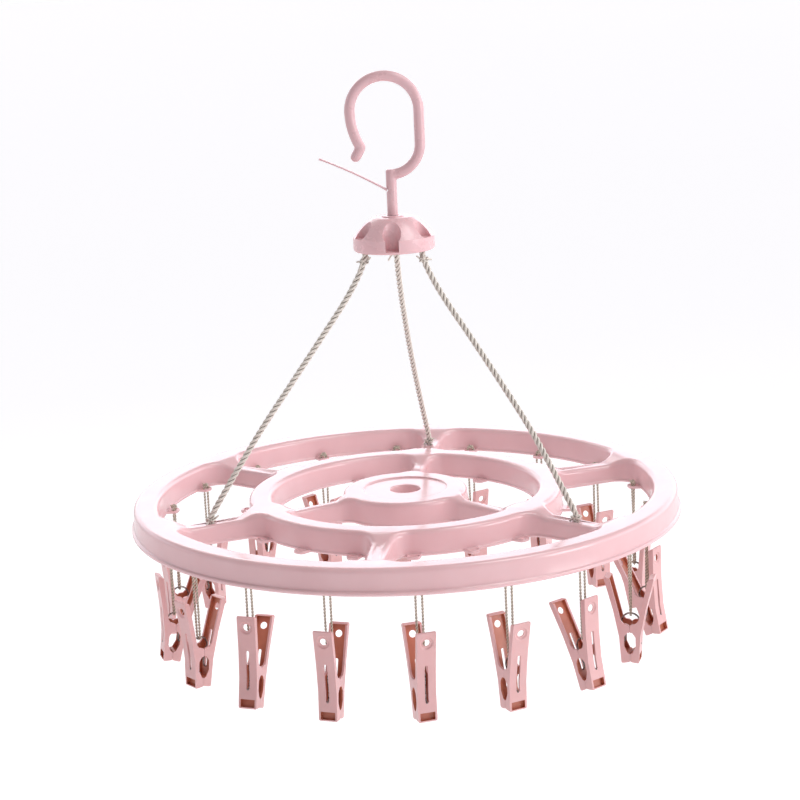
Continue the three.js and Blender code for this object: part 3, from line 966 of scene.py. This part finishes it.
def make_cap(material, rim):
    """The fluted dome: three deep niches and, over the ropes, three shallow ones."""
    bottom = CAP_BOTTOM
    top = CAP_TOP
    outer = lathe("cap", cap_profile(), 144)
    inner = lathe("cap_inside", [(0, bottom - 1), (27.4 - CAP_WALL, bottom - 1),
                                 (27.2 - CAP_WALL, bottom + 8.6), (12.6, top - CAP_WALL),
                                 (0, top - CAP_WALL)], 96)
    walls = []
    pockets = []
    for place in range(6):
        deep = place % 2 == 0
        floor = bottom + (1.6 if deep else 9.2)
        radius = 6.2 if deep else 5.8
        angle = CAP_TURN + 60 * place
        walls.append(rod("wall", radius + CAP_WALL, around(angle, POCKET_RADIUS, floor - CAP_WALL),
                         around(angle, POCKET_RADIUS, top + 5), 48))
        pockets.append(rod("pocket", radius, around(angle, POCKET_RADIUS, floor),
                           around(angle, POCKET_RADIUS, top + 6), 48))
    hole = rod("hole", HOOK_ROD / 2 + 0.4, (0, 0, top - 10), (0, 0, top + 5), 48)
    hollow = carved(inner, walls)
    # The rounded edges take rim, a paler plastic that paints a highlight along them.
    mesh = softened(paintable(carved(outer, [hollow, *pockets, hole]), 2), 0.32, 26, rim=1)
    mesh.materials.clear()
    piece = add_object("cap", mesh, material, rim)
    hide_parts("suspension_cap")
    return piece


# ---- ropes --------------------------------------------------------------------
def rope_point(number, radius, height):
    """A point of a rope's upright plane, which turns from its spoke below to its pocket in
    the cap above."""
    share = min(1, max(0, height / (CAP_BOTTOM - FRAME_TOP)))
    angle = rope_spoke(number) + (CAP_TURN - FRAME_TURN) * share
    return around(angle, radius, FRAME_TOP + height)


def rope_route(number):
    """Centre line of one rope from under its spoke up to the middle of the cap."""
    route = [(ROPE_RADIUS, -12), (ROPE_RADIUS, -3), (139, 3), (107, 50), (82, 82), (57, 113),
             (40, 134), (29, 150), (23.2, 161.5), (21.5, 169), (17, 172), (5, 172.5)]
    return [rope_point(number, radius, height) for radius, height in route]


def knot_route(middle, size, turn):
    """An overhand knot as an open line, `size` from its middle to its furthest loop and turned
    by that many radians."""
    route = []
    for t in np.linspace(0.35, 2 * math.pi - 0.35, 40):
        x = math.sin(t) + 2 * math.sin(2 * t)
        y = math.cos(t) - 2 * math.cos(2 * t)
        z = -1.1 * math.sin(3 * t)
        point = Matrix.Rotation(turn, 3, "Z") @ Vector((x, y, z))
        route.append(Vector(middle) + point * (size / 3))
    return route


def whiskers(middle, count, length, turn):
    """Short loose ends standing out of a knot, the first one turned by that many degrees."""
    ends = []
    for end in range(count):
        angle = turn + 360 * end / count + 17 * (end % 2)
        rise = 0.5 - (end % 3) * 0.6
        out = around(angle, 1)
        ends.append([Vector(middle) + out * reach + Vector((0, 0, rise * reach ** 2 / length))
                     for reach in np.linspace(0.5, length * (1 + 0.15 * (end % 3)), 5)])
    return ends


def knot_mesh(name, knots, ends, yarn):
    """Knots of doubled yarn, given as (middle, size, turn), with loose ends of that thickness."""
    lines = [knot_route(*knot) for knot in knots]
    routes = [strand for line in lines for strand in twisted(line, 2, yarn * 0.5, yarn * 4)]
    mesh = tubes(name, routes + ends, yarn / 2, 8)
    return shade_in_grooves(mesh, lines, yarn * 0.9)


def make_ropes(material):
    """Three laid ropes, each of three strands, with the knots that hold them."""
    pieces = []
    strand_radius = ROPE * 0.235
    lay = 12.5
    for number in range(ROPE_COUNT):
        line = smooth_route(rope_route(number), 0.8)
        name = f"rope_{number + 1}"
        strands = tubes(name, twisted(line, 3, ROPE * 0.3, lay), strand_radius, 12)
        rope = add_object(name, shade_in_grooves(strands, [line], ROPE / 2), material)
        under = rope_point(number, ROPE_RADIUS, -SPOKE_DIP - 7.5)
        over = rope_point(number, ROPE_RADIUS, -SPOKE_DIP + 3)
        below_cap = rope_point(number, 23.2, 161.4)
        knots = [(under, 3.4, 0), (over, 2.9, 0.6), (below_cap, 2.6, 1.2)]
        ends = whiskers(over, 3, 5, 40 * number) + whiskers(below_cap, 4, 4.6, 70 * number)
        knot = add_object(f"{name}_knots", knot_mesh(f"{name}_knots", knots, ends, 1.3), material)
        for piece in (rope, knot):
            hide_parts("suspension_ropes")
        pieces += [rope, knot]
    return pieces


# ---- pegs -----------------------------------------------------------------------
def face_at(height):
    """Distance from a peg's middle to the outside of its leg at that height."""
    heights = [z for _, z in reversed(LEG_FACE)]
    reaches = [x for x, _ in reversed(LEG_FACE)]
    return float(np.interp(height, heights, reaches))


def upright_rectangle(half_width, foot, top):
    """Corners of a rectangle that is centred on the middle line, from its foot to its top."""
    return [(half_width, top), (half_width, foot), (-half_width, foot), (-half_width, top)]


def leg_mesh():
    """A peg's leg at +X: an open tray with a dished finger hole, a slot, half of the side
    window and a pocket at its foot."""
    seam = 0.08
    window_top = -38.4
    window_foot = -53
    saddle = [(seam, -FULCRUM - 0.9), (1.5, -FULCRUM + 0.1), (4.1, -FULCRUM + 0.5), (5.9, -FULCRUM + 2.6)]
    inside = [(seam, -PEG_LENGTH + 1.3), (seam, window_foot), (1.6, window_foot + 0.3), (3.9, -47.8),
              (3.9, -41.6), (1.7, window_top), (seam, window_top), *saddle, (12.9, -1.1)]
    body = prism("leg", rounded([*LEG_FACE, *inside], 0.9), PEG_WIDTH)
    half = PEG_WIDTH / 2
    clear = 0.01
    ends = rounded(upright_rectangle(half, -PEG_LENGTH - clear, clear), 1.7)
    room_foot = -52.6
    room = [(face_at(z) - PEG_SKIN, z) for z in (-1.5, -23, -41, room_foot)]
    room += [(-2, room_foot), (-2, 1.5), (9, 1.5), (12.2, -1.5)]
    tilt = Vector((23, 0, -6.2)).normalized()
    hole = Vector((face_at(HOLE_HEIGHT), 0, HOLE_HEIGHT))
    slot_half = 1.15
    slot = rounded(upright_rectangle(slot_half, -47.5, -22.5), slot_half)
    pocket_back = face_at(-56) - 2.6
    pocket_front = face_at(-56) + 3
    pocket = [(pocket_back, -53.7), (pocket_front, -53.7), (pocket_front, -58.8), (pocket_back, -58.8)]
    mesh = carved(body, [slab("ends", ends, -3, 20)], "INTERSECT")
    mesh = carved(mesh, [
        prism("room", room, PEG_WIDTH - 2.8),
        rod("dish", 4.8, hole + tilt * 0.3, hole - tilt * 0.8, 40, 3.4),
        rod("hole", 2.35, hole + tilt * 3, hole - tilt * 4, 32),
        slab("slot", slot, 3, 14),
        prism("pocket", pocket, PEG_WIDTH - 2.6),
    ])
    # Material 2 on the rounded edges is a paler plastic, a painted highlight along them.
    mesh = softened(paintable(mesh, 3), 0.42, 28, rim=2)
    mesh.name = "peg_leg"
    return mesh


def paint_leg(mesh, outside, inside, rim):
    """Gives a leg its materials: inside, a darker orange copy that paints shade and warm bounced light, on
    the faces within it, and rim, a paler copy that paints a highlight, where bevelled.
    """
    for number, material in enumerate((outside, inside, rim)):
        mesh.materials[number] = material
    for face in mesh.polygons:
        x, y, z = face.center / MM
        from_side = PEG_WIDTH / 2 - abs(y)
        from_face = face_at(z) - x
        in_tray = from_side > 1.35 and from_face > 0.9 and -52.8 < z < -1.2
        in_window = x < 4.1 and -53.4 < z < -38 and abs(face.normal.y) < 0.5
        in_pocket = from_side > 1.25 and from_face > 0.35 and x > 3.4 and -59 < z < -53.5
        # The tray, window and pocket faces get the painted shade; bevelled faces keep the painted
        # highlight.
        if face.material_index != 2:
            face.material_index = 1 if in_tray or in_window or in_pocket else 0


def spring_mesh():
    """A peg's spring: an arch of wire over the saddle with a hooked foot in each leg's slot."""
    side = [(6.6, -47.4), (5.2, -46.9), (4.1, -45.6), (3.7, -42.5), (4.7, -37)]
    arch = [(x, z) for x, z in arc(0, -FULCRUM, ARCH, 0, 180, 20)]
    corners = [*side, *arch, *[(-x, z) for x, z in reversed(side)]]
    route = smooth_route([Vector((x, 0, z)) for x, z in corners], 0.5)
    return tubes("spring", [route], WIRE / 2, 12)


def cord_line(out, across):
    """Centre line of a peg's cord, from its knot through the lug, under the spring and back.
    out is the direction between the strands at the lug, and across at the spring."""
    knot = LUG_THICK / 2 + 2.6
    hang = -PEG_DROP - FULCRUM + ARCH
    half = [out * 0.5 + Vector((0, 0, knot + 0.6)), out * 1.7 + Vector((0, 0, knot - 0.4)),
            out * CORD_SPREAD + Vector((0, 0, knot - 2)), out * CORD_SPREAD + Vector((0, 0, -3)),
            out * 1.4 + across * 0.7 + Vector((0, 0, -24)), out * 0.6 + across * 1.3 + Vector((0, 0, -42)),
            across * 1.6 + Vector((0, 0, hang + 2)), across * 1.35 + Vector((0, 0, hang - 0.5))]
    other = [Vector((-x, -y, z)) for x, y, z in reversed(half)]
    return smooth_route([*half, Vector((0, 0, hang - 1.5)), *other], 0.42)


def hung(name, mesh, fulcrum, turn, lean):
    """One leg or spring of a peg, leant about its fulcrum by `lean` degrees and then turned."""
    piece = add_object(name, mesh)
    stand = Matrix.Rotation(turn, 4, "Z") @ Matrix.Rotation(math.radians(lean), 4, "Y")
    piece.matrix_world = Matrix.Translation(fulcrum) @ stand @ Matrix.Translation((0, 0, FULCRUM * MM))
    return piece


def make_peg_cord(name, number, line, lug, material):
    """A peg's cord along its centre line, and the knot that holds it on top of its lug."""
    strands = tubes(f"{name}_cord", twisted(line, 2, CORD * 0.32, 4.4), CORD * 0.27, 8)
    cord = add_object(f"{name}_cord", shade_in_grooves(strands, [line], CORD / 2), material)
    middle = lug + Vector((0, 0, LUG_THICK / 2 + 2.2))
    ends = whiskers(middle, 3, 2.4, 50 * number)
    mesh = knot_mesh(f"{name}_knot", [(middle, 1.8, 0.9 * number)], ends, 0.72)
    return cord, add_object(f"{name}_knot", mesh, material)


def make_pegs(materials):
    """Every peg, hung from its lug at the place and twist that its joints have."""
    leg = leg_mesh()
    paint_leg(leg, materials["peg"], materials["peg_inside_shade"], materials["peg_edge_highlight"])
    spring = spring_mesh()
    spring.materials.append(materials["steel"])
    for number, lean in enumerate(PEG_LEAN):
        name = f"peg_{number + 1:02d}"
        swing = JOINTS[f"{name}_swing"]
        squeeze = JOINTS[f"{name}_squeeze"]
        lug = Vector(swing["pos_m"]) / MM
        fulcrum = Vector(squeeze["pos_m"])
        out = Vector(swing["axis"])
        across = Vector(squeeze["axis"])
        facing = math.atan2(across.y, across.x) - math.pi / 2
        if out.dot(across) < 0:
            across = -across
        near = hung(f"{name}_near", leg, fulcrum, facing, -lean)
        far = hung(f"{name}_far", leg, fulcrum, facing + math.pi, lean)
        wire = hung(f"{name}_spring", spring, fulcrum, facing, -lean)
        line = [lug + point for point in cord_line(out, across)]
        cord, knot = make_peg_cord(name, number, line, lug, materials["cord"])
        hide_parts(f"{name}_leg_near")
        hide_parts(f"{name}_leg_far")
        for piece in (wire, cord, knot):
            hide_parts(f"{name}_hanger")
        for piece in (near, wire, cord, knot):
            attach(piece, f"{name}_body")
        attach(far, f"{name}_jaw")


# ---- the scene ------------------------------------------------------------------
make_camera()
make_world()
make_floor()
make_lights()
bpy.context.scene.view_settings.view_transform = "Standard"
FRAME_PLASTIC = plastic("frame_plastic", (0.79, 0.51, 0.525), (0.765, 0.48, 0.495), 0.16)
CAP_PLASTIC = plastic("cap_plastic", (0.79, 0.51, 0.53), (0.76, 0.47, 0.49), 0.26)
# A paler copy of the plastic, put on rounded edges as a painted highlight.
EDGE_HIGHLIGHT_PLASTIC = plastic("edge_highlight_plastic", (0.93, 0.71, 0.69), (0.90, 0.66, 0.64), 0.22)
HOOK_PLASTIC = plastic("hook_plastic", (0.70, 0.45, 0.47), (0.67, 0.42, 0.44), 0.3)
# The deep colour of each fibre material is painted shade for the grooves between its strands.
ROPE_FIBRE = fibre("rope_fibre", (0.82, 0.77, 0.69), (0.26, 0.21, 0.17))
PEG_MATERIALS = {
    "peg": plastic("peg_plastic", (0.72, 0.42, 0.42), (0.69, 0.39, 0.38), 0.33),
    "peg_edge_highlight": EDGE_HIGHLIGHT_PLASTIC,
    # A darker, redder copy of the peg plastic: painted shade and warm bounced light inside the peg's
    # hollows.
    "peg_inside_shade": plastic("peg_painted_shade_plastic", (0.62, 0.21, 0.12), (0.47, 0.13, 0.07), 0.4),
    "steel": steel("spring_steel"),
    "cord": fibre("cord_fibre", (0.74, 0.66, 0.54), (0.22, 0.16, 0.11)),
}

for piece in (make_frame(FRAME_PLASTIC), make_lugs(FRAME_PLASTIC), make_cap(CAP_PLASTIC, EDGE_HIGHLIGHT_PLASTIC)):
    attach(piece, "hanging_body")
for piece in (make_hook(HOOK_PLASTIC), make_retainer(HOOK_PLASTIC)):
    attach(piece, "hook_body")
strap = make_strap(HOOK_PLASTIC)
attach(strap, "strap_body")
for piece in make_ropes(ROPE_FIBRE):
    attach(piece, "hanging_body")
make_pegs(PEG_MATERIALS)
